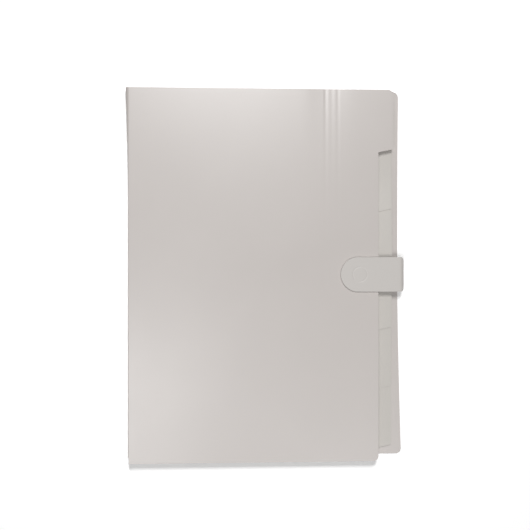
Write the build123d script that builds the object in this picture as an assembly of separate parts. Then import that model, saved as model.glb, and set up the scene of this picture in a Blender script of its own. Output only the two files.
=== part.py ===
from build123d import *
import os

# An expanding file for A4 papers, closed and lying on its back cover.
# The spine stands at -X, the mouth with its index tabs is at +X, and +Y is the end that holds the first tab.
# Lengths are in millimetres. Places along X are counted from the outer face of the spine, and the whole file
# is moved at the end so that its origin lies under the middle of it.

# Cover sheet
cover_sheet = 0.8
front_height = 330.0
front_width = 221.4
front_corner = 4.5
back_margin = 5.8
back_top_corner = 6.0
back_bottom_corner = 4.5
bottom_setback = 5.0
spine_clearance = 0.3

# Fold scores across the front
flap_width = 41.8
score_spacing = 5.5
score_width = 0.9
score_depth = 0.25

# Dividers and pockets
pocket_count = 6
divider_sheet = 0.5
first_pocket_gap = 1.2
inner_pocket_gap = 0.8
front_pocket_gap = 5.2

# Index tabs
tab_reach = 13.4
tab_foot_margin = 8.2
tab_slant = 2.8
tab_tuck = 6.0
tab_corner = 1.6

# Pocket film
gusset_film = 0.15
gusset_depth = 13.0
gusset_mouth_setback = 2.0
floor_film = 0.25
film_clearance = 0.3

# Strap
strap_width = 30.6
strap_neck_width = 24.0
strap_offset = 0.9
strap_thickness = 1.2
strap_bend_radius = 3.5
bend_split = 45.0
strap_past_back = 3.6
strap_end_past_snap = 17.0
weld_thickness = 0.7
weld_length = 22.5
thick_weld_length = 12.5

# Snap fastener
snap_from_edge = 17.0
flange_radius = 6.5
socket_flange = 0.7
strap_seat = 0.2
socket_bore_radius = 3.0
socket_wall = 1.1
socket_fit = 0.1
rivet_ring = 1.0
stud_clearance = 0.45
stud_length = 2.0
stud_chamfer = 0.3
flange_chamfer = 0.25

# Places worked out from the sizes above
inner_height = front_height - bottom_setback
inner_top = front_height / 2
inner_bottom = inner_top - inner_height
inner_from_spine = cover_sheet + spine_clearance
fold_from_spine = front_width - flap_width
snap_from_spine = front_width - snap_from_edge
strap_end_from_spine = snap_from_spine - strap_end_past_snap
tab_pitch = (inner_height - tab_foot_margin) / pocket_count
back_width = front_width + tab_reach + back_margin
overall_length = back_width + strap_past_back
divider_count = pocket_count - 1


def pocket_levels():
    """The foot and the ceiling of each pocket, from the back cover up."""
    levels = []
    foot = cover_sheet
    for pocket in range(pocket_count):
        gap = inner_pocket_gap
        if pocket == 0:
            gap = first_pocket_gap
        if pocket == pocket_count - 1:
            gap = front_pocket_gap
        levels.append((foot, foot + gap))
        foot = foot + gap + divider_sheet
    return levels


levels = pocket_levels()
front_level = levels[-1][1]
file_thickness = front_level + cover_sheet
tongue_level = file_thickness + socket_flange + strap_seat
strap_top = tongue_level + strap_thickness
bend_across = overall_length - strap_bend_radius
lower_bend = (bend_across, cover_sheet + strap_bend_radius)
upper_bend = (bend_across, strap_top - strap_bend_radius)
strap_plane = Plane.XZ.offset(-strap_offset)


def slab(left, right, bottom, top, level, thickness):
    """A flat rectangular sheet, from its edges in plan, its lower face and its thickness."""
    outline = Pos((left + right) / 2, (bottom + top) / 2) * Rectangle(right - left, top - bottom)
    return extrude(Pos(0, 0, level) * outline, thickness)


def rounded_corner(sheet, x, y, radius):
    """The sheet with its upright edge at x, y rounded."""
    edge = sheet.edges().filter_by(Axis.Z).sort_by_distance(Vector(x, y, 0))[0]
    return fillet(edge, radius)


def tab(number, level, thickness):
    """The index tab at one place down the mouth, with slanting ends and rounded outer corners."""
    upper = inner_top - (number - 1) * tab_pitch
    lower = upper - tab_pitch
    root = front_width - tab_reach
    tip = front_width + tab_reach
    tuck = tab_tuck
    lead = tab_slant
    if number == 1:
        tuck = 0
        lead = 0
    outline = Polyline(
        (root, upper + tuck),
        (front_width, upper + tuck),
        (tip, upper + tuck - lead),
        (tip, lower),
        (front_width, lower - tab_slant),
        (root, lower - tab_slant),
        close=True,
    )
    face = make_face(outline)
    tips = face.vertices().group_by(Axis.X)[-1]
    face = fillet(tips, tab_corner)
    return extrude(Pos(0, 0, level) * face, thickness)


def score(from_spine):
    """The bar that presses one fold score into the front's upper face."""
    return slab(from_spine - score_width / 2, from_spine + score_width / 2, -front_height, front_height,
                file_thickness - score_depth, 2 * score_depth)


def back_cover():
    sheet = slab(0, back_width, inner_bottom, inner_top, 0, cover_sheet)
    sheet = rounded_corner(sheet, back_width, inner_top, back_top_corner)
    return rounded_corner(sheet, back_width, inner_bottom, back_bottom_corner)


def cover_spine():
    return slab(0, cover_sheet, inner_bottom, inner_top, cover_sheet, file_thickness - cover_sheet)


def front_cover():
    sheet = slab(inner_from_spine, fold_from_spine, -front_height / 2, front_height / 2, front_level,
                 cover_sheet)
    sheet -= score(fold_from_spine - score_spacing)
    return sheet - score(fold_from_spine)


def front_flap():
    sheet = slab(fold_from_spine, front_width, -front_height / 2, front_height / 2, front_level, cover_sheet)
    sheet = rounded_corner(sheet, front_width, -front_height / 2, front_corner)
    sheet += tab(1, front_level, cover_sheet)
    sheet -= score(fold_from_spine + score_spacing)
    sheet -= score(fold_from_spine)
    hole_radius = socket_bore_radius + socket_wall + socket_fit
    hole = Pos(snap_from_spine, strap_offset, front_level) * extrude(Circle(hole_radius), 2 * cover_sheet)
    return sheet - hole


def divider(number):
    """One sheet between two pockets. The lowest divider has the last tab."""
    level = levels[number - 1][1]
    sheet = slab(inner_from_spine, front_width, inner_bottom, inner_top, level, divider_sheet)
    return sheet + tab(pocket_count + 1 - number, level, divider_sheet)


def pocket_floor(number):
    """The film that closes one pocket along the spine."""
    foot, ceiling = levels[number - 1]
    left = inner_from_spine
    return slab(left, left + floor_film, inner_bottom, inner_top, foot, ceiling - foot)


def gusset(number, edge, inward):
    """The film folded into one end of a pocket: two leaves from the sheets' edges to a fold inside."""
    foot, ceiling = levels[number - 1]
    middle = (foot + ceiling) / 2
    fold = edge + inward * gusset_depth
    inner_fold = fold - inward * gusset_depth * gusset_film / (middle - foot)
    left = inner_from_spine + floor_film + film_clearance
    right = front_width - gusset_mouth_setback
    section = Polyline(
        (edge, foot),
        (fold, middle),
        (edge, ceiling),
        (edge, ceiling - gusset_film),
        (inner_fold, middle),
        (edge, foot + gusset_film),
        close=True,
    )
    return extrude(Plane.YZ.offset(left) * make_face(section), right - left)


def bend(middle, start):
    """Half of one of the strap's round bends, from the angle start."""
    outer = CenterArc(middle, strap_bend_radius, start, bend_split)
    inner = CenterArc(middle, strap_bend_radius - strap_thickness, start, bend_split)
    return make_face([outer, Line(outer @ 1, inner @ 1), inner, Line(inner @ 0, outer @ 0)])


def across_strap(profile, width):
    """The profile of a stretch of the strap, carried across its width."""
    return extrude(strap_plane * profile, width / 2, both=True)


def strap_base():
    bottom = strap_offset - strap_width / 2
    top = strap_offset + strap_width / 2
    weld = slab(back_width - weld_length, bend_across, bottom, top, cover_sheet, weld_thickness)
    step = slab(back_width - thick_weld_length, bend_across, bottom, top, cover_sheet, strap_thickness)
    return weld + step + across_strap(bend(lower_bend, -2 * bend_split), strap_width)


def strap_bridge():
    """The narrower neck of the strap, from the middle of its lower bend to the middle of its upper bend."""
    middle = (lower_bend[1] + upper_bend[1]) / 2
    upright = Pos(overall_length - strap_thickness / 2, middle) * Rectangle(
        strap_thickness, upper_bend[1] - lower_bend[1]
    )
    neck = across_strap(upright, strap_neck_width)
    neck += across_strap(bend(lower_bend, -bend_split), strap_neck_width)
    return neck + across_strap(bend(upper_bend, 0), strap_neck_width)


def strap_tongue():
    """The free end of the strap, round at its tip, with the stud moulded under it."""
    round_end = strap_end_from_spine + strap_width / 2
    plan = Pos(round_end, strap_offset) * Circle(strap_width / 2)
    plan += Pos((round_end + bend_across) / 2, strap_offset) * Rectangle(bend_across - round_end, strap_width)
    tongue = extrude(Pos(0, 0, tongue_level) * plan, strap_thickness)
    tongue += across_strap(bend(upper_bend, bend_split), strap_width)
    stud = extrude(Circle(socket_bore_radius - stud_clearance), -stud_length)
    stud = chamfer(stud.faces().sort_by(Axis.Z)[0].edges(), stud_chamfer)
    return tongue + Pos(snap_from_spine, strap_offset, tongue_level) * stud


def snap_socket():
    """A flange on the flap with a tube through it, which the stud presses into."""
    tube_length = socket_flange + cover_sheet + rivet_ring
    flange = extrude(Circle(flange_radius), -socket_flange)
    flange = chamfer(flange.faces().sort_by(Axis.Z)[-1].edges(), flange_chamfer)
    tube = extrude(Circle(socket_bore_radius + socket_wall), -tube_length)
    bore = extrude(Circle(socket_bore_radius), -tube_length)
    return Pos(snap_from_spine, strap_offset, file_thickness + socket_flange) * (flange + tube - bore)


def snap_rivet():
    """The ring inside the flap that holds the socket's tube."""
    ring = extrude(Circle(flange_radius), -rivet_ring)
    ring = chamfer(ring.faces().sort_by(Axis.Z)[0].edges(), flange_chamfer)
    ring -= extrude(Circle(socket_bore_radius + socket_wall + socket_fit), -rivet_ring)
    return Pos(snap_from_spine, strap_offset, front_level) * ring


def save(name, solid):
    """Writes one piece, moved so that the origin lies under the middle of the file."""
    export_step(Pos(-overall_length / 2, 0, 0) * solid, os.path.join("parts", name + ".step"))


os.makedirs("parts", exist_ok=True)
save("back_cover", back_cover())
save("cover_spine", cover_spine())
save("front_cover", front_cover())
save("front_flap", front_flap())
for number in range(1, divider_count + 1):
    save(f"divider_{number}", divider(number))
for number in range(1, pocket_count + 1):
    save(f"pocket_floor_{number}", pocket_floor(number))
    save(f"gusset_top_{number}", gusset(number, inner_top, -1))
    save(f"gusset_bottom_{number}", gusset(number, inner_bottom, 1))
save("strap_base", strap_base())
save("strap_bridge", strap_bridge())
save("strap_tongue", strap_tongue())
save("snap_socket", snap_socket())
save("snap_rivet", snap_rivet())
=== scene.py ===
import math

import bmesh
import bpy
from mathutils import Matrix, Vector


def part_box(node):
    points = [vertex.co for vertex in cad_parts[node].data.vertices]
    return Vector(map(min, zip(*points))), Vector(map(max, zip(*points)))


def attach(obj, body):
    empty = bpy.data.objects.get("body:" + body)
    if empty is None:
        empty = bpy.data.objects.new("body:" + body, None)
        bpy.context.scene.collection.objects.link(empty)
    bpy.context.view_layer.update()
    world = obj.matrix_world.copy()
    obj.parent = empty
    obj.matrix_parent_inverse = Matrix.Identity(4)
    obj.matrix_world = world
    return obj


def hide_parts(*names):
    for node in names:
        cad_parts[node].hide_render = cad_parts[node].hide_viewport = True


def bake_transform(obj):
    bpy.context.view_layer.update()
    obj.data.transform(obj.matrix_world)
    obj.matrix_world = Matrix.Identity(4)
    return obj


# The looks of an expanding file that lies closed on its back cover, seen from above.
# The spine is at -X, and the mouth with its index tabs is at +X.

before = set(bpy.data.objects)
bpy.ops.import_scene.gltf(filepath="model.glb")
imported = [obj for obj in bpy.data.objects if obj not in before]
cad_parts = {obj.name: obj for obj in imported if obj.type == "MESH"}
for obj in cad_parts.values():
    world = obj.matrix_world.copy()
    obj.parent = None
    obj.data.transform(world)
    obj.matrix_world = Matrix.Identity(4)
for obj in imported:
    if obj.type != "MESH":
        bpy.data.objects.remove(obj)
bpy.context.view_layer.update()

MM = 0.001

# Places read from the frame
back_low, back_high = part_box("back_cover")
spine_low, spine_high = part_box("cover_spine")
front_low, front_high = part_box("front_cover")
flap_low, flap_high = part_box("front_flap")
base_low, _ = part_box("strap_base")
bridge_low, bridge_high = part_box("strap_bridge")
tongue_low, tongue_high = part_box("strap_tongue")
socket_low, socket_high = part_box("snap_socket")
rivet_low, rivet_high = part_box("snap_rivet")

# Sizes that the drawing of the pieces repeats
POCKETS = 6
TAB_REACH = 13.4 * MM
TAB_SLANT = 2.8 * MM
TAB_TUCK = 6.0 * MM
TAB_CORNER = 1.6 * MM
TAB_FOOT_CORNER = 0.5 * MM
FIRST_TAB_CORNER = 4.5 * MM
TAB_FOOT_MARGIN = 8.2 * MM
FRONT_CORNER = 4.5 * MM
BACK_TOP_CORNER = 6.0 * MM
BACK_BOTTOM_CORNER = 4.5 * MM
DIVIDER_CORNER = 1.0 * MM
SCORE_SPACING = 5.5 * MM
SCORE_HALF_WIDTH = 2.4 * MM
STRAP_THICKNESS = 1.2 * MM
STRAP_BEND = 3.5 * MM
WELD_THICKNESS = 0.7 * MM
HOLE_RADIUS = 4.2 * MM

mouth_x = flap_high.x - TAB_REACH
fold_x = flap_low.x
inner_height = back_high.y - back_low.y
inner_middle_y = (back_high.y + back_low.y) / 2
tab_pitch = (inner_height - TAB_FOOT_MARGIN) / POCKETS
snap_centre = (socket_low + socket_high) / 2
strap_y = (tongue_low.y + tongue_high.y) / 2
strap_half = (tongue_high.y - tongue_low.y) / 2


# Nodes. Their owner is a material or the world.

def feed(owner, socket, value):
    """Gives a socket a constant or another node's output."""
    if isinstance(value, bpy.types.NodeSocket):
        owner.node_tree.links.new(value, socket)
    else:
        socket.default_value = value


def add(owner, kind, **values):
    """One node, with its sockets fed by name."""
    node = owner.node_tree.nodes.new(kind)
    for socket, value in values.items():
        feed(owner, node.inputs[socket.replace("_", " ")], value)
    return node


def worked_out(owner, operation, *values):
    """The output of a maths node."""
    node = owner.node_tree.nodes.new("ShaderNodeMath")
    node.operation = operation
    for socket, value in zip(node.inputs, values):
        feed(owner, socket, value)
    return node.outputs["Value"]


def ranged(owner, value, low, high, to_low=0.0, to_high=1.0):
    """A value carried from the range low to high over to another range, and held inside it."""
    node = add(owner, "ShaderNodeMapRange", Value=value, From_Min=low, From_Max=high,
               To_Min=to_low, To_Max=to_high)
    return node.outputs["Result"]


def noise(owner, place, **look):
    """The strength of a noise texture at each place."""
    return add(owner, "ShaderNodeTexNoise", Vector=place, **look).outputs["Fac"]


# Materials

PLASTIC_IOR = 1.49
CLOUDS = {"Scale": 14.0, "Detail": 4.0, "Roughness": 0.55}
CLOUD_RANGE = (0.3, 0.7)
RUBBING = {"Scale": 22.0, "Detail": 3.0, "Roughness": 0.5}
RUBBING_RANGE = (0.2, 0.8)
GRIT = {"Detail": 3.0, "Roughness": 0.5}
GRIT_FINENESS = 0.45
GRAIN_STRENGTH = 0.35
SCRATCH_TURN = (0, 0, 0.4)
SCRATCH_STRETCH = (9.0, 260.0, 9.0)
SCRATCHES = {"Scale": 3.0, "Detail": 2.0, "Roughness": 0.7}
SCRATCH_RANGE = (0.72, 0.8)
SCRATCH_STRENGTH = 0.15
SCRATCH_DEPTH = 0.02 * MM


def new_material(name, colour, roughness):
    """A plastic material with its principled shader, ready for detail."""
    material = bpy.data.materials.new(name)
    material.use_nodes = True
    shader = material.node_tree.nodes["Principled BSDF"]
    shader.inputs["Base Color"].default_value = (*colour, 1)
    shader.inputs["Roughness"].default_value = roughness
    shader.inputs["IOR"].default_value = PLASTIC_IOR
    return material, shader


def clouded_colour(material, place, colour, mottle):
    """The colour, faintly darker and lighter in soft clouds."""
    tint = add(material, "ShaderNodeValToRGB", Fac=noise(material, place, **CLOUDS))
    for element, position, change in zip(tint.color_ramp.elements, CLOUD_RANGE, (-mottle, mottle)):
        element.position = position
        element.color = (*[c * (1 + change) for c in colour], 1)
    return tint.outputs["Color"]


def grained_surface(material, place, grain, grain_depth):
    """The surface with a fine pressed grain and a few long hair scratches."""
    pebbles = add(material, "ShaderNodeTexVoronoi", Vector=place, Scale=grain)
    pebbles.feature = "SMOOTH_F1"
    grit = noise(material, place, Scale=grain * GRIT_FINENESS, **GRIT)
    height = worked_out(material, "ADD", pebbles.outputs["Distance"], grit)
    pressed = add(material, "ShaderNodeBump", Strength=GRAIN_STRENGTH, Distance=grain_depth, Height=height)

    stretch = add(material, "ShaderNodeMapping", Vector=place, Rotation=SCRATCH_TURN, Scale=SCRATCH_STRETCH)
    scratches = noise(material, stretch.outputs["Vector"], **SCRATCHES)
    thin = ranged(material, scratches, *SCRATCH_RANGE)
    scratched = add(material, "ShaderNodeBump", Strength=SCRATCH_STRENGTH, Distance=SCRATCH_DEPTH,
                    Height=thin, Normal=pressed.outputs["Normal"])
    scratched.invert = True
    return scratched.outputs["Normal"]


def plastic(name, colour, roughness, grain, grain_depth, mottle, wear):
    """Polypropylene with a pressed grain, faint clouds in its colour, rubbed patches and hair scratches."""
    material, shader = new_material(name, colour, roughness)
    place = add(material, "ShaderNodeTexCoord").outputs["Object"]
    rubbed = noise(material, place, **RUBBING)
    gloss = ranged(material, rubbed, *RUBBING_RANGE, roughness - wear, roughness + wear)
    feed(material, shader.inputs["Base Color"], clouded_colour(material, place, colour, mottle))
    feed(material, shader.inputs["Roughness"], gloss)
    feed(material, shader.inputs["Normal"], grained_surface(material, place, grain, grain_depth))
    return material


COVER_COLOUR = (0.610, 0.567, 0.541)
DIVIDER_COLOUR = (0.590, 0.560, 0.522)
FILM_COLOUR = (0.610, 0.590, 0.565)
STRAP_COLOUR = (0.600, 0.570, 0.542)

cover_plastic = plastic("cover_plastic", COVER_COLOUR, roughness=0.29, grain=1500.0,
                        grain_depth=0.04 * MM, mottle=0.012, wear=0.015)
divider_plastic = plastic("divider_plastic", DIVIDER_COLOUR, roughness=0.34, grain=1700.0,
                          grain_depth=0.04 * MM, mottle=0.012, wear=0.015)
film_plastic = plastic("film_plastic", FILM_COLOUR, roughness=0.30, grain=900.0,
                       grain_depth=0.02 * MM, mottle=0.02, wear=0.05)
strap_plastic = plastic("strap_plastic", STRAP_COLOUR, roughness=0.40, grain=2100.0,
                        grain_depth=0.03 * MM, mottle=0.01, wear=0.03)
snap_plastic = plastic("snap_plastic", STRAP_COLOUR, roughness=0.33, grain=1600.0,
                       grain_depth=0.015 * MM, mottle=0.015, wear=0.05)


# Curves

CORNER_STEPS = 8
CIRCLE_STEPS = 40


def span(first, last, count):
    """Evenly spaced values from first to last, both included."""
    return [first + (last - first) * n / count for n in range(count + 1)]


def bump(distance, reach):
    """A smooth hump of height 1 that falls to 0 at reach."""
    share = min(1.0, abs(distance) / reach)
    return (1 - share * share) ** 2


def smooth_step(share):
    """0 up to 1, level at both ends."""
    share = min(max(share, 0), 1)
    return share * share * (3 - 2 * share)


def circle(centre, radius):
    """The points of a circle in the plan."""
    points = []
    for n in range(CIRCLE_STEPS):
        turn = math.tau * n / CIRCLE_STEPS
        points.append(Vector((centre.x + radius * math.cos(turn), centre.y + radius * math.sin(turn))))
    return points


def rounded_outline(corners):
    """The points of an outline given as (u, v, radius) corners, with each corner turned into an arc."""
    points = []
    for n, (u, v, radius) in enumerate(corners):
        corner = Vector((u, v))
        if radius == 0:
            points.append(corner)
            continue
        before = Vector(corners[n - 1][:2]) - corner
        after = Vector(corners[(n + 1) % len(corners)][:2]) - corner
        before.normalize()
        after.normalize()
        half = before.angle(after) / 2
        middle = corner + (before + after).normalized() * radius / math.sin(half)
        first = corner + before * radius / math.tan(half) - middle
        last = corner + after * radius / math.tan(half) - middle
        for share in span(0, 1, CORNER_STEPS):
            arm = (first * (1 - share) + last * share).normalized() * radius
            points.append(middle + arm)
    return points


# Meshes

SMOOTH_ANGLE = math.radians(35)
RIM_ANGLE = math.radians(60)
RIM_STEPS = 2
RIM_ROUNDNESS = 0.5
LARGE_FACE_WEIGHT = 70
SAME_PLANE_ANGLE = 0.01
SAME_PLACE = 1e-7
LATHE_STEPS = 72


def place_in_scene(name, data):
    """An object in the scene that shows the data."""
    item = bpy.data.objects.new(name, data)
    bpy.context.scene.collection.objects.link(item)
    return item


def with_modifiers(piece):
    """A new mesh of the piece with its modifiers worked in."""
    graph = bpy.context.evaluated_depsgraph_get()
    return bpy.data.meshes.new_from_object(piece.evaluated_get(graph))


def finish_mesh(bm, name, material):
    """A mesh object from the bmesh, smooth except at its edges, with its material."""
    bmesh.ops.recalc_face_normals(bm, faces=bm.faces)
    mesh = bpy.data.meshes.new(name)
    bm.to_mesh(mesh)
    bm.free()
    mesh.shade_smooth()
    mesh.set_sharp_from_angle(angle=SMOOTH_ANGLE)
    mesh.materials.append(material)
    piece = place_in_scene(name, mesh)
    flatten = piece.modifiers.new("flat_faces", "WEIGHTED_NORMAL")
    flatten.mode = "FACE_AREA"
    flatten.weight = LARGE_FACE_WEIGHT
    flatten.keep_sharp = True
    weighted = with_modifiers(piece)
    piece.modifiers.clear()
    piece.data = weighted
    bpy.data.meshes.remove(mesh)
    weighted.name = name
    return piece


def sheet(name, outline, holes, lines_u, lines_v, place, material, rim):
    """A solid sheet cut to an outline in its own flat plan, divided along the given lines, and put in place.

    place(u, v, side) gives the point for a place in the flat plan.
    Its side is 1 on the upper face and 0 on the lower.
    """
    bm = bmesh.new()
    for loop in [outline, *holes]:
        corners = [bm.verts.new((p.x, p.y, 0)) for p in loop]
        for n, corner in enumerate(corners):
            bm.edges.new((corners[n - 1], corner))
    bmesh.ops.triangle_fill(bm, use_beauty=True, edges=bm.edges[:], normal=(0, 0, 1))
    bmesh.ops.dissolve_limit(bm, angle_limit=SAME_PLANE_ANGLE, verts=bm.verts[:], edges=bm.edges[:])
    for lines, normal in ((lines_u, Vector((1, 0, 0))), (lines_v, Vector((0, 1, 0)))):
        for line in lines:
            geometry = bm.verts[:] + bm.edges[:] + bm.faces[:]
            bmesh.ops.bisect_plane(bm, geom=geometry, dist=SAME_PLACE,
                                   plane_co=normal * line, plane_no=normal)
    lower = {v: tuple(v.co.xy) for v in bm.verts}
    grown = bmesh.ops.extrude_face_region(bm, geom=bm.faces[:], use_keep_orig=True)
    upper = {v: tuple(v.co.xy) for v in grown["geom"] if isinstance(v, bmesh.types.BMVert)}
    for side, plan in enumerate((lower, upper)):
        for vertex, (u, v) in plan.items():
            vertex.co = place(u, v, side)
    bmesh.ops.recalc_face_normals(bm, faces=bm.faces)
    edges = [e for e in bm.edges if len(e.link_faces) == 2 and e.calc_face_angle() > RIM_ANGLE]
    bmesh.ops.bevel(bm, geom=edges, offset=rim, segments=RIM_STEPS, profile=RIM_ROUNDNESS,
                    affect="EDGES", clamp_overlap=True)
    return finish_mesh(bm, name, material)


def lathe(name, profile, centre, material):
    """A turned piece from (radius, height) points, closed round its axis."""
    bm = bmesh.new()
    rings = []
    for radius, height in profile:
        ring = []
        for n in range(LATHE_STEPS):
            turn = math.tau * n / LATHE_STEPS
            arm = Vector((radius * math.cos(turn), radius * math.sin(turn), height))
            ring.append(bm.verts.new(centre + arm))
        rings.append(ring)
    for n, ring in enumerate(rings):
        following = rings[(n + 1) % len(rings)]
        for k in range(LATHE_STEPS):
            after = (k + 1) % LATHE_STEPS
            bm.faces.new((ring[k], ring[after], following[after], following[k]))
    bmesh.ops.remove_doubles(bm, verts=bm.verts, dist=SAME_PLACE)
    return finish_mesh(bm, name, material)


def film(name, columns, thickness):
    """A thin folded film from columns of points, given a thickness on both sides of them."""
    bm = bmesh.new()
    grid = [[bm.verts.new(p) for p in column] for column in columns]
    for left, right in zip(grid, grid[1:]):
        for n in range(len(left) - 1):
            bm.faces.new((left[n], right[n], right[n + 1], left[n + 1]))
    mesh = bpy.data.meshes.new(name)
    bm.to_mesh(mesh)
    bm.free()
    flat = place_in_scene(name + "_flat", mesh)
    solid = flat.modifiers.new("thickness", "SOLIDIFY")
    solid.thickness = thickness
    solid.offset = 0
    thick = with_modifiers(flat)
    bpy.data.objects.remove(flat)
    bm = bmesh.new()
    bm.from_mesh(thick)
    bpy.data.meshes.remove(thick)
    return finish_mesh(bm, name, film_plastic)


# Cover

COVER_RIM = 0.16 * MM
FOLD_RADIUS = 0.5 * MM
FOLD_OVERLAP = 1.4 * MM

FRONT_CROWN = 0.35 * MM
CROWN_REACH = 1.05
FOLD_SAG = 0.38 * MM
FOLD_SAG_REACH = 19.0 * MM
FOLD_SAG_RISE = 26.0 * MM
FOLD_SAG_FADE = 34.0 * MM
HELD_BY_STRAP_X = 40.0 * MM
HELD_BY_STRAP_Y = 50.0 * MM
SCORE_DEPTH = 0.10 * MM
SCORE_FADE = 42.0 * MM
SCORE_LEAST = 0.06
FRONT_COLUMNS = 44
SCORE_COLUMNS = 12
SCORE_MARGIN = 3.0 * MM
FLAP_COLUMNS = 14
FRONT_ROWS = 66
front_middle_x = (front_low.x + flap_high.x) / 2
front_half_x = (flap_high.x - front_low.x) / 2
front_half_y = (front_high.y - front_low.y) / 2
scores = [fold_x - SCORE_SPACING, fold_x, fold_x + SCORE_SPACING]
score_shares = [1.3, 0.5, 0.9]


def front_warp(x, y):
    """How far the front stands above its flat place.

    It has a slight crown, and it sags where the scores meet the end with the first tab.
    Near the snap it stays flat.
    """
    crown = FRONT_CROWN * bump(x - front_middle_x, CROWN_REACH * front_half_x)
    crown *= bump(y, CROWN_REACH * front_half_y)
    at_top = math.exp((y - front_half_y) / FOLD_SAG_FADE)
    from_score = x - scores[0]
    sag = FOLD_SAG * at_top * bump(from_score, FOLD_SAG_REACH if from_score < 0 else FOLD_SAG_RISE)
    near_strap = bump(x - snap_centre.x, HELD_BY_STRAP_X) * bump(y - snap_centre.y, HELD_BY_STRAP_Y)
    return (crown - sag) * (1 - near_strap)


def score_relief(x, y):
    """The pressed scores: soft shallow grooves, worn open towards the end with the first tab."""
    open_share = SCORE_LEAST + (1 - SCORE_LEAST) * math.exp((y - front_half_y) / SCORE_FADE)
    grooves = [share * bump(x - score, SCORE_HALF_WIDTH) for score, share in zip(scores, score_shares)]
    return -SCORE_DEPTH * open_share * sum(grooves)


def place_front(u, v, side):
    """A point of the front sheet, with the scores in its upper face."""
    z = front_low.z + front_warp(u, v)
    if side:
        z += front_high.z - front_low.z + score_relief(u, v)
    return Vector((u, v, z))


def tab_corners(number):
    """The outline corners of one tab, from its upper end down, for a sheet whose mouth edge is at mouth_x."""
    upper = back_high.y - (number - 1) * tab_pitch
    lower = upper - tab_pitch
    tip = mouth_x + TAB_REACH
    foot = [(tip, lower, TAB_CORNER), (mouth_x, lower - TAB_SLANT, TAB_FOOT_CORNER)]
    if number == 1:
        return [(tip, upper, FIRST_TAB_CORNER), *foot]
    top = upper + TAB_TUCK
    return [(mouth_x, top, 0), (tip, top - TAB_SLANT, TAB_CORNER), *foot]


def front_sheet():
    """The front cover and its flap, one sheet with the middle score between them."""
    left = spine_low.x + FOLD_RADIUS
    outline = rounded_outline([
        (left, front_low.y, 0),
        (left, front_high.y, 0),
        *tab_corners(1),
        (mouth_x, front_low.y, FRONT_CORNER),
    ])
    lines_u = span(left, scores[0] - SCORE_MARGIN, FRONT_COLUMNS)[1:]
    for score in scores:
        lines_u += span(score - SCORE_HALF_WIDTH, score + SCORE_HALF_WIDTH, SCORE_COLUMNS)
    lines_u += span(scores[-1] + SCORE_MARGIN, flap_high.x, FLAP_COLUMNS)
    lines_v = span(front_low.y, front_high.y, FRONT_ROWS)
    hole = circle(snap_centre, HOLE_RADIUS)
    piece = sheet("front_sheet", outline, [hole], lines_u, lines_v, place_front,
                  cover_plastic, COVER_RIM)
    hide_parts("front_cover", "front_flap")
    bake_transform(piece)


BACK_FLARE = 3.5 * MM
BACK_FLARE_CURVE = 1.5
BACK_TOP_FLARE = 0.8 * MM
BACK_COLUMNS = 24
BACK_ROWS = 32


def place_back(u, v, side):
    """A point of the back cover, whose mouth edge flares out a little towards both ends."""
    flare = BACK_FLARE * max(0, -v / back_high.y) ** BACK_FLARE_CURVE
    flare += BACK_TOP_FLARE * max(0, v / back_high.y) ** 3
    towards_mouth = max(0, (u - back_low.x) / (back_high.x - back_low.x)) ** 2
    return Vector((u + flare * towards_mouth, v, back_high.z if side else back_low.z))


def back_sheet():
    """The back cover, flat on the table."""
    outline = rounded_outline([
        (back_low.x + FOLD_OVERLAP, back_low.y, 0),
        (back_low.x + FOLD_OVERLAP, back_high.y, 0),
        (back_high.x, back_high.y, BACK_TOP_CORNER),
        (back_high.x, back_low.y, BACK_BOTTOM_CORNER),
    ])
    lines_u = span(back_low.x, back_high.x, BACK_COLUMNS)
    lines_v = span(back_low.y, back_high.y, BACK_ROWS)
    piece = sheet("back_sheet", outline, [], lines_u, lines_v, place_back,
                  cover_plastic, COVER_RIM)
    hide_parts("back_cover")
    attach(piece, "back")


SPINE_BOW = 0.05 * MM
SPINE_BULGE = 2.3 * MM
SPINE_BULGE_FADE = 95.0 * MM
SPINE_BULGE_HEIGHT = 4.0
SPINE_BULGE_CURVE = 1.5
HINGE_THICKNESS = 0.45 * MM
HINGE_RUN = 1.5 * MM
SPINE_RIM = 0.05 * MM
SPINE_COLUMNS = 80
SPINE_ROWS = 40
spine_thickness = spine_high.x - spine_low.x


def spine_path(share):
    """A point of the spine's outer face and its outward normal.

    The share runs from the back cover's fold up to the front's edge.
    """
    turn = FOLD_RADIUS * math.pi / 2
    flat = FOLD_OVERLAP - FOLD_RADIUS
    left = spine_low.x
    bottom = back_low.z
    top = front_high.z
    upright = top - bottom - 2 * FOLD_RADIUS
    total = flat + turn + upright + turn
    s = share * total
    if s < flat:
        return Vector((left + FOLD_OVERLAP - s, 0, bottom)), Vector((0, 0, -1))
    s -= flat
    if s < turn:
        angle = s / FOLD_RADIUS
        normal = Vector((-math.sin(angle), 0, -math.cos(angle)))
        return Vector((left + FOLD_RADIUS, 0, bottom + FOLD_RADIUS)) + normal * FOLD_RADIUS, normal
    s -= turn
    if s < upright:
        return Vector((left, 0, bottom + FOLD_RADIUS + s)), Vector((-1, 0, 0))
    angle = min((s - upright) / FOLD_RADIUS, math.pi / 2)
    normal = Vector((-math.cos(angle), 0, math.sin(angle)))
    return Vector((left + FOLD_RADIUS, 0, top - FOLD_RADIUS)) + normal * FOLD_RADIUS, normal


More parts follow.
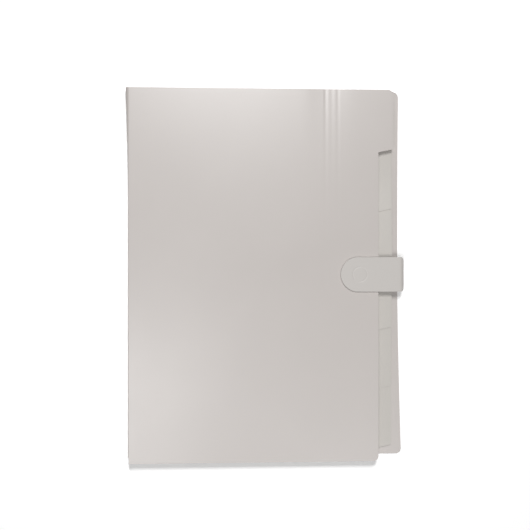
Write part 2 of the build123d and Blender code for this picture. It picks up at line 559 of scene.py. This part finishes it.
def place_spine(u, v, side):
    """A point of the spine, whose folds are thin and which bulges out near the end with the first tab."""
    share = min(max(u, 0), 1)
    point, normal = spine_path(share)
    from_end = min(1, (back_high.y - v) / SPINE_BULGE_FADE)
    bulge = math.sin(math.pi * share ** SPINE_BULGE_HEIGHT) ** SPINE_BULGE_CURVE
    bow = SPINE_BOW * math.sin(math.pi * share)
    bow += SPINE_BULGE * (1 - from_end) ** SPINE_BULGE_CURVE * bulge
    from_fold = min(point.z - back_low.z, front_high.z - point.z) - FOLD_RADIUS
    full = smooth_step(from_fold / HINGE_RUN)
    depth = 0 if side else HINGE_THICKNESS + (spine_thickness - HINGE_THICKNESS) * full
    point = point - normal * depth + Vector((-bow, 0, 0))
    return Vector((point.x, v, point.z))


def spine_sheet():
    """The spine between its two rounded folds. Across its plan it is counted as a share of its outer face."""
    low, high = back_low.y, back_high.y
    outline = [Vector((0, low)), Vector((0, high)), Vector((1, high)), Vector((1, low))]
    piece = sheet("spine_sheet", outline, [], span(0, 1, SPINE_COLUMNS), span(low, high, SPINE_ROWS),
                  place_spine, cover_plastic, SPINE_RIM)
    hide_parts("cover_spine")
    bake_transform(piece)


# Dividers and film

FILM = 0.15 * MM
GUSSET_DEPTH = 13.0 * MM
SETTLE_STEP = 0.70 * MM
SETTLE_RUN = 60.0 * MM
SETTLE_AT_STRAP = -0.70
SETTLE_FULL_FROM_STRAP = 95.0 * MM
SETTLE_FULL_FROM_END = 45.0 * MM


def settle(number, x, y):
    """How far a divider has settled at the mouth.

    The strap holds the dividers up, and the gussets hold them at their ends.
    """
    if number < 2 or number == POCKETS:
        return 0
    from_strap = smooth_step(abs(y - strap_y) / SETTLE_FULL_FROM_STRAP)
    past_gusset = inner_height / 2 - abs(y - inner_middle_y) - GUSSET_DEPTH
    amount = SETTLE_AT_STRAP + (1 - SETTLE_AT_STRAP) * from_strap
    amount = min(amount, smooth_step(past_gusset / SETTLE_FULL_FROM_END))
    return SETTLE_STEP * (number - 1) * amount * smooth_step((x - mouth_x + SETTLE_RUN) / SETTLE_RUN)


DIVIDER_RIM = 0.1 * MM
DIVIDER_WAVE = 0.04 * MM
DIVIDER_WAVE_LENGTH = 31.0 * MM
DIVIDER_WAVE_SHIFT = 1.7
DIVIDER_FLAT_COLUMNS = 12
DIVIDER_MOUTH_COLUMNS = 20
DIVIDER_ROWS = 44


def divider_sheet(number):
    """One divider with its index tab, very slightly wavy along the mouth. The lowest has the last tab."""
    low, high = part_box(f"divider_{number}")
    outline = rounded_outline([
        (low.x, low.y, 0),
        (low.x, high.y, 0),
        (mouth_x, high.y, 0),
        *tab_corners(POCKETS + 1 - number),
        (mouth_x, low.y, DIVIDER_CORNER),
    ])

    def place(u, v, side):
        towards_mouth = max(0.0, (u - low.x) / (mouth_x - low.x)) ** 2
        phase = v / DIVIDER_WAVE_LENGTH + DIVIDER_WAVE_SHIFT * number
        wave = DIVIDER_WAVE * towards_mouth * math.sin(phase)
        return Vector((u, v, (high.z if side else low.z) + wave - settle(number, u, v)))

    lines_u = span(low.x, mouth_x - SETTLE_RUN, DIVIDER_FLAT_COLUMNS)
    lines_u += span(mouth_x - SETTLE_RUN, high.x, DIVIDER_MOUTH_COLUMNS)[1:]
    lines_v = span(low.y, high.y, DIVIDER_ROWS)
    piece = sheet(f"divider_sheet_{number}", outline, [], lines_u, lines_v, place,
                  divider_plastic, DIVIDER_RIM)
    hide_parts(f"divider_{number}")
    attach(piece, f"divider_{number}")


FILM_CLEARANCE = 0.6 * FILM
GUSSET_WAVE = 0.4 * MM
GUSSET_WAVE_LENGTH = 23.0 * MM
GUSSET_COLUMNS = 36
LEAF_STEPS = 9
LEAF_CURVE = 0.04
LEAF_SLACK = 0.06


def gusset_film(number, end):
    """The pleated film at one end of a pocket, between the sheets below and above it."""
    node = f"gusset_{end}_{number}"
    low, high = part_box(node)
    edge = high.y if end == "top" else low.y
    inward = -1 if end == "top" else 1
    bottom = low.z + FILM_CLEARANCE
    top = high.z - FILM_CLEARANCE
    columns = []
    for x in span(low.x, high.x, GUSSET_COLUMNS):
        towards_mouth = (x - low.x) / (high.x - low.x)
        depth = GUSSET_DEPTH - GUSSET_WAVE * (1 + math.sin(x / GUSSET_WAVE_LENGTH + number))
        column = []
        for n in range(2 * LEAF_STEPS + 1):
            lower_leaf = n < LEAF_STEPS
            share = n / LEAF_STEPS if lower_leaf else 2 - n / LEAF_STEPS
            height = n / (2 * LEAF_STEPS)
            soft = share - LEAF_CURVE * math.sin(math.pi * share)
            y = edge + inward * depth * soft
            slack = LEAF_SLACK * (top - bottom) * math.sin(math.pi * share) * towards_mouth
            z = bottom + (top - bottom) * height + (slack if lower_leaf else -slack)
            column.append(Vector((x, y, z)))
        columns.append(column)
    piece = film(f"pleat_{end}_{number}", columns, FILM)
    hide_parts(node)
    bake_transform(piece)


POCKET_FLOOR_FILM = 0.1 * MM
POCKET_FLOOR_CLEARANCE = 0.05 * MM
POCKET_FLOOR_INSET = 0.06 * MM
POCKET_FLOOR_BOW = 0.14 * MM
POCKET_FLOOR_ROWS = 30
POCKET_FLOOR_STEPS = 8


def floor_film(number):
    """The film along the spine side of a pocket, bowed towards the spine."""
    node = f"pocket_floor_{number}"
    low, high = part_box(node)
    bottom = low.z + POCKET_FLOOR_CLEARANCE
    rise = high.z - low.z - 2 * POCKET_FLOOR_CLEARANCE
    columns = []
    for y in span(low.y, high.y, POCKET_FLOOR_ROWS):
        column = []
        for height in span(0, 1, POCKET_FLOOR_STEPS):
            x = high.x - POCKET_FLOOR_INSET - POCKET_FLOOR_BOW * math.sin(math.pi * height)
            column.append(Vector((x, y, bottom + rise * height)))
        columns.append(column)
    piece = film(f"floor_film_{number}", columns, POCKET_FLOOR_FILM)
    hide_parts(node)
    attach(piece, "divider_5" if number == POCKETS else f"divider_{number}")


# Strap

STRAP_RIM = 0.38 * MM
WELD_RIM = 0.25 * MM
WELD_CORNER = 2.0 * MM
WELD_STEP_START = 8.0 * MM
WELD_STEP_RUN = 4.0 * MM
TIP_ROUNDING = 0.999
NECK_RUN = 4.2 * MM
NECK_STEPS = 8
PRESSED_RING_RADIUS = 6.4 * MM
PRESSED_RING_HALF_WIDTH = 0.7 * MM
PRESSED_RING_DEPTH = 0.16 * MM
NEAR_SNAP = 8.0 * MM
NEAR_SNAP_STEPS = 46
SNAP_MARGIN = 9.0 * MM
WELD_COLUMNS = 60
STRAP_COLUMNS = 50
STRAP_ROWS = 10

neck_half = (bridge_high.y - bridge_low.y) / 2
strap_rows = span(strap_y - strap_half, strap_y + strap_half, STRAP_ROWS)
bend_x = bridge_high.x - STRAP_BEND
strap_bottom = base_low.z
strap_top = tongue_high.z

# Places along the strap, counted from its welded end
quarter = STRAP_BEND * math.pi / 2
base_run = bend_x - base_low.x
upright_run = strap_top - strap_bottom - 2 * STRAP_BEND
tongue_run = bend_x - tongue_low.x
lower_bend_end = base_run + quarter
upper_bend_start = lower_bend_end + upright_run
upper_bend_end = upper_bend_start + quarter
strap_length = upper_bend_end + tongue_run
strap_split = (lower_bend_end + upper_bend_start) / 2
snap_run = upper_bend_end + bend_x - snap_centre.x


def strap_path(s):
    """A point of the strap's outer face and its outward normal, counted from the welded end."""
    if s < base_run:
        return Vector((base_low.x + s, 0, strap_bottom)), Vector((0, 0, -1))
    if s < lower_bend_end:
        angle = (s - base_run) / STRAP_BEND
        normal = Vector((math.sin(angle), 0, -math.cos(angle)))
        return Vector((bend_x, 0, strap_bottom + STRAP_BEND)) + normal * STRAP_BEND, normal
    if s < upper_bend_start:
        return Vector((bridge_high.x, 0, strap_bottom + STRAP_BEND + s - lower_bend_end)), Vector((1, 0, 0))
    if s < upper_bend_end:
        angle = (s - upper_bend_start) / STRAP_BEND
        normal = Vector((math.cos(angle), 0, math.sin(angle)))
        return Vector((bend_x, 0, strap_top - STRAP_BEND)) + normal * STRAP_BEND, normal
    return Vector((bend_x - (s - upper_bend_end), 0, strap_top)), Vector((0, 0, 1))


def strap_edge(s):
    """Half the strap's width at a place along it: it narrows to its neck over the two bends."""
    into_neck = min(s - lower_bend_end + NECK_RUN, upper_bend_start + NECK_RUN - s) / NECK_RUN
    return strap_half + (neck_half - strap_half) * smooth_step(into_neck)


def strap_relief(s, v):
    """A plain pressed ring over the snap."""
    distance = math.hypot(s - snap_run, v - snap_centre.y)
    return -PRESSED_RING_DEPTH * bump(distance - PRESSED_RING_RADIUS, PRESSED_RING_HALF_WIDTH)


def place_strap(s, v, side):
    """A point of the strap, which is thin at its weld and has the ring in its outer face."""
    point, normal = strap_path(s)
    ramp = min(max((s - WELD_STEP_START) / WELD_STEP_RUN, 0), 1)
    thickness = WELD_THICKNESS + (STRAP_THICKNESS - WELD_THICKNESS) * ramp
    depth = thickness if side else -strap_relief(s, v)
    point = point - normal * depth
    return Vector((point.x, v, point.z))


def strap_sides(places):
    """The corners of the upper long edge at places along the strap, and of the lower edge on the way back."""
    upper = [(s, strap_y + strap_edge(s), 0) for s in places]
    lower = [(s, strap_y - strap_edge(s), 0) for s in reversed(places)]
    return upper, lower


def strap_lower():
    """The welded end of the strap and its lower bend, up to the middle of the upright."""
    low, high = strap_y - strap_half, strap_y + strap_half
    narrowing = span(lower_bend_end, lower_bend_end - NECK_RUN, NECK_STEPS)
    upper_side, lower_side = strap_sides([*reversed(narrowing), strap_split])
    outline = rounded_outline([(0, low, WELD_CORNER), (0, high, WELD_CORNER), *upper_side, *lower_side])
    lines_s = span(0, strap_split, WELD_COLUMNS)
    piece = sheet("strap_lower", outline, [], lines_s, strap_rows, place_strap,
                  strap_plastic, WELD_RIM)
    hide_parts("strap_base")
    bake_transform(piece)


def strap_upper():
    """The strap from its upright over the upper bend to its round free end."""
    low, high = strap_y - strap_half, strap_y + strap_half
    tip = strap_half * TIP_ROUNDING
    narrowing = span(upper_bend_start, upper_bend_start + NECK_RUN, NECK_STEPS)
    upper_side, lower_side = strap_sides([strap_split, *narrowing])
    round_end = [(strap_length, high, tip), (strap_length, low, tip)]
    outline = rounded_outline([*upper_side, *round_end, *lower_side])
    near_snap = span(-NEAR_SNAP, NEAR_SNAP, NEAR_SNAP_STEPS)
    lines_s = span(strap_split, snap_run - SNAP_MARGIN, STRAP_COLUMNS) + [snap_run + x for x in near_snap]
    lines_v = strap_rows + [snap_centre.y + y for y in near_snap]
    piece = sheet("strap_upper", outline, [], lines_s, lines_v, place_strap,
                  strap_plastic, STRAP_RIM)
    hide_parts("strap_bridge", "strap_tongue")
    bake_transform(piece)


# Snap. The points of a shoulder or a foot are counted inwards from the flange's edge, and down or up.

SNAP_BORE = 3.0 * MM
SNAP_TUBE = 4.1 * MM
SOCKET_LIP = 0.2 * MM
SOCKET_LIP_DROP = 0.45 * MM
SOCKET_LIP_END = 0.9 * MM
SOCKET_MOUTH_WIDTH = 0.35 * MM
SOCKET_MOUTH_DROP = 0.12 * MM
SOCKET_SHOULDER = [(1.6 * MM, 0), (0.7 * MM, 0.10 * MM), (0.15 * MM, 0.32 * MM)]
SOCKET_FOOT = [(0, 0.12 * MM), (0.1 * MM, 0.02 * MM)]
SOCKET_SEAT = 0.02 * MM
RING_FIT = 0.1 * MM
RING_SEAT = 0.02 * MM
RING_EDGE = 0.25 * MM
RING_SHOULDER = [(0.25 * MM, 0.3 * MM), (0.9 * MM, 0.06 * MM), (1.5 * MM, 0)]
RING_MOUTH_WIDTH = 0.4 * MM
RING_MOUTH_RISE = 0.2 * MM
STUD_ROOT = 0.1 * MM
STUD_TIP_RADIUS = 2.0 * MM
STUD_PROFILE = [
    (3.4 * MM, 0.1 * MM),
    (3.0 * MM, -0.02 * MM),
    (2.35 * MM, -0.35 * MM),
    (2.3 * MM, -0.9 * MM),
    (2.55 * MM, -1.25 * MM),
    (2.45 * MM, -1.65 * MM),
]
flange = (socket_high.x - socket_low.x) / 2


def on_snap_axis(level):
    """The middle of the snap at a level."""
    return Vector((snap_centre.x, snap_centre.y, level))


def snap_socket():
    """The button in the flap that takes the strap's stud, with its tube through the flap."""
    rise = socket_high.z - front_high.z
    depth = socket_high.z - socket_low.z - rise
    piece = lathe("snap_socket_button", [
        (SNAP_BORE - SOCKET_LIP, rise - SOCKET_LIP_DROP),
        (SNAP_BORE, rise - SOCKET_MOUTH_DROP),
        (SNAP_BORE + SOCKET_MOUTH_WIDTH, rise),
        *[(flange - inwards, rise - down) for inwards, down in SOCKET_SHOULDER],
        *[(flange - inwards, up) for inwards, up in SOCKET_FOOT],
        (SNAP_TUBE, SOCKET_SEAT),
        (SNAP_TUBE, -depth),
        (SNAP_BORE, -depth),
        (SNAP_BORE, rise - SOCKET_LIP_END),
    ], on_snap_axis(front_high.z), snap_plastic)
    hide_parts("snap_socket")
    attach(piece, "flap")


def snap_ring():
    """The ring inside the flap that the socket's tube is closed on."""
    ring = rivet_high.z - rivet_low.z
    piece = lathe("snap_inner_ring", [
        (SNAP_TUBE + RING_FIT, ring - RING_SEAT),
        (flange - RING_FIT, ring - RING_SEAT),
        (flange, ring - RING_EDGE),
        *[(flange - inwards, up) for inwards, up in RING_SHOULDER],
        (SNAP_TUBE + RING_MOUTH_WIDTH, 0),
        (SNAP_TUBE + RING_FIT, RING_MOUTH_RISE),
    ], on_snap_axis(rivet_low.z), snap_plastic)
    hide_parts("snap_rivet")
    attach(piece, "flap")


def snap_stud():
    """The stud under the strap, with a neck and a bead near its end."""
    under = strap_top - STRAP_THICKNESS
    length = under - tongue_low.z
    piece = lathe("snap_stud", [
        (0, STUD_ROOT),
        *STUD_PROFILE,
        (STUD_TIP_RADIUS, -length),
        (0, -length),
    ], on_snap_axis(under), strap_plastic)
    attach(piece, "strap_tongue")


front_sheet()
back_sheet()
spine_sheet()
for divider in range(1, POCKETS):
    divider_sheet(divider)
for pocket in range(1, POCKETS + 1):
    floor_film(pocket)
    gusset_film(pocket, "top")
    gusset_film(pocket, "bottom")
strap_lower()
strap_upper()
snap_socket()
snap_ring()
snap_stud()


# Stage

FLOOR_HALF = 6.0
FLOOR_DROP = 0.05 * MM
FLOOR_ROUGHNESS = 0.9
FLOOR_SHINE = 0.1
FLOOR_COLOUR = 0.82
FLOOR_SEEN = 1.36
# Painted light: the floor is seen this bright just past the spine and the end with the first tab, which
# washes out the file's shadow there
FLOOR_SEEN_PAINTED_LIGHT = 2.3
FLOOR_CHANGE = 1.0 * MM
FLOOR_FADE_START = 15.0 * MM
FLOOR_FADE_END = 60.0 * MM
WORLD_LIGHT = 0.06


def seen_directly(owner):
    """1 for what the camera, a mirror or glass sees, and 0 for the light that falls on the object."""
    path = add(owner, "ShaderNodeLightPath")
    total = path.outputs["Is Camera Ray"]
    for ray in ("Is Glossy Ray", "Is Transmission Ray"):
        total = worked_out(owner, "MAXIMUM", total, path.outputs[ray])
    return total


def painted_light_share(material):
    """The share of painted light on the floor: 1 just past the spine and past the end with the first tab,
    fading away from the file, and 0 on the rest of it. It washes out the file's shadow there.
    """
    place = add(material, "ShaderNodeTexCoord").outputs["Object"]
    across = add(material, "ShaderNodeSeparateXYZ", Vector=place)
    x, y = across.outputs["X"], across.outputs["Y"]
    past_spine = worked_out(material, "SUBTRACT", spine_low.x, x)
    past_top = worked_out(material, "SUBTRACT", y, front_high.y)
    past_mouth = worked_out(material, "SUBTRACT", x, bridge_high.x)
    past_bottom = worked_out(material, "SUBTRACT", front_low.y, y)
    behind = worked_out(material, "MAXIMUM", past_spine, past_top)
    ahead = worked_out(material, "MAXIMUM", past_mouth, past_bottom)
    away = worked_out(material, "MAXIMUM", behind, ahead)
    near = ranged(material, away, FLOOR_FADE_END, FLOOR_FADE_START)
    start = ranged(material, behind, -FLOOR_CHANGE, 0.0)
    return worked_out(material, "MULTIPLY", near, start)


def floor_paper():
    """A pale paper that is seen brighter than it lights the object, with painted light past the spine and the
    end with the first tab that washes out the file's shadow there.
    """
    material = bpy.data.materials.new("floor_paper")
    material.use_nodes = True
    shader = material.node_tree.nodes["Principled BSDF"]
    shader.inputs["Roughness"].default_value = FLOOR_ROUGHNESS
    shader.inputs["Specular IOR Level"].default_value = FLOOR_SHINE
    # painted light on the floor past the spine and the first tab's end, which washes out the file's shadow
    seen = ranged(material, painted_light_share(material), 0.0, 1.0, FLOOR_SEEN, FLOOR_SEEN_PAINTED_LIGHT)
    brightness = ranged(material, seen_directly(material), 0.0, 1.0, FLOOR_COLOUR, seen)
    feed(material, shader.inputs["Base Color"], brightness)
    return material


def white_floor():
    """The floor that the file lies on, which keeps the file's shadow, except past the spine and the end with
    the first tab, where painted light washes it out.
    """
    mesh = bpy.data.meshes.new("floor")
    corners = [(-1, -1), (1, -1), (1, 1), (-1, 1)]
    mesh.from_pydata([(x * FLOOR_HALF, y * FLOOR_HALF, 0) for x, y in corners], [], [(0, 1, 2, 3)])
    mesh.materials.append(floor_paper())
    floor = place_in_scene("floor", mesh)
    floor.location.z = -FLOOR_DROP


def studio_world():
    """White where it is seen, and a faint even light on the object."""
    world = bpy.data.worlds.new("studio")
    world.use_nodes = True
    background = world.node_tree.nodes["Background"]
    background.inputs["Color"].default_value = (1, 1, 1, 1)
    strength = ranged(world, seen_directly(world), 0.0, 1.0, WORLD_LIGHT, 1.0)
    feed(world, background.inputs["Strength"], strength)
    bpy.context.scene.world = world


def area_light(name, place, width, height, power):
    """A softbox that faces the object."""
    light = bpy.data.lights.new(name, "AREA")
    light.shape = "RECTANGLE"
    light.size = width
    light.size_y = height
    light.energy = power
    lamp = place_in_scene(name, light)
    lamp.location = place
    lamp.rotation_euler = Vector(place).to_track_quat("Z", "Y").to_euler()


white_floor()
studio_world()
area_light("upper_softbox", (0.05, 0.57, 1.50), width=0.28, height=0.36, power=11.5)
area_light("lower_left_softbox", (-0.21, -0.32, 1.50), width=0.20, height=0.46, power=5.5)
area_light("near_softbox", (0.30, -0.50, 1.50), width=0.40, height=0.40, power=3.0)


# Camera

PICTURE_PIXELS = 530
PICTURE_CENTRE = 265.0
MM_PER_PIXEL = 0.882
SPINE_PIXEL_X = 128.0
FRONT_MIDDLE_PIXEL_Y = 275.45
CAMERA_DISTANCE = 1.2
CAMERA_TILT = math.radians(4.8)
SENSOR = 36.0


def set_camera():
    """The camera above the file, leaning a little towards its spine and aimed at the front cover's plane."""
    pixel = MM_PER_PIXEL * MM
    left_of_centre = (PICTURE_CENTRE - SPINE_PIXEL_X) * pixel
    lean = math.sin(CAMERA_TILT) / CAMERA_DISTANCE
    target = Vector((
        spine_low.x + left_of_centre / (math.cos(CAMERA_TILT) + left_of_centre * lean),
        (FRONT_MIDDLE_PIXEL_Y - PICTURE_CENTRE) * pixel,
        front_high.z,
    ))
    data = bpy.data.cameras.new("camera")
    data.sensor_width = SENSOR
    data.lens = SENSOR * CAMERA_DISTANCE / (PICTURE_PIXELS * pixel)
    camera = place_in_scene("camera", data)
    camera.location = target + Vector((-math.sin(CAMERA_TILT), 0, math.cos(CAMERA_TILT))) * CAMERA_DISTANCE
    camera.rotation_euler = (0, -CAMERA_TILT, 0)
    bpy.context.scene.camera = camera


set_camera()
bpy.context.scene.view_settings.view_transform = "Standard"
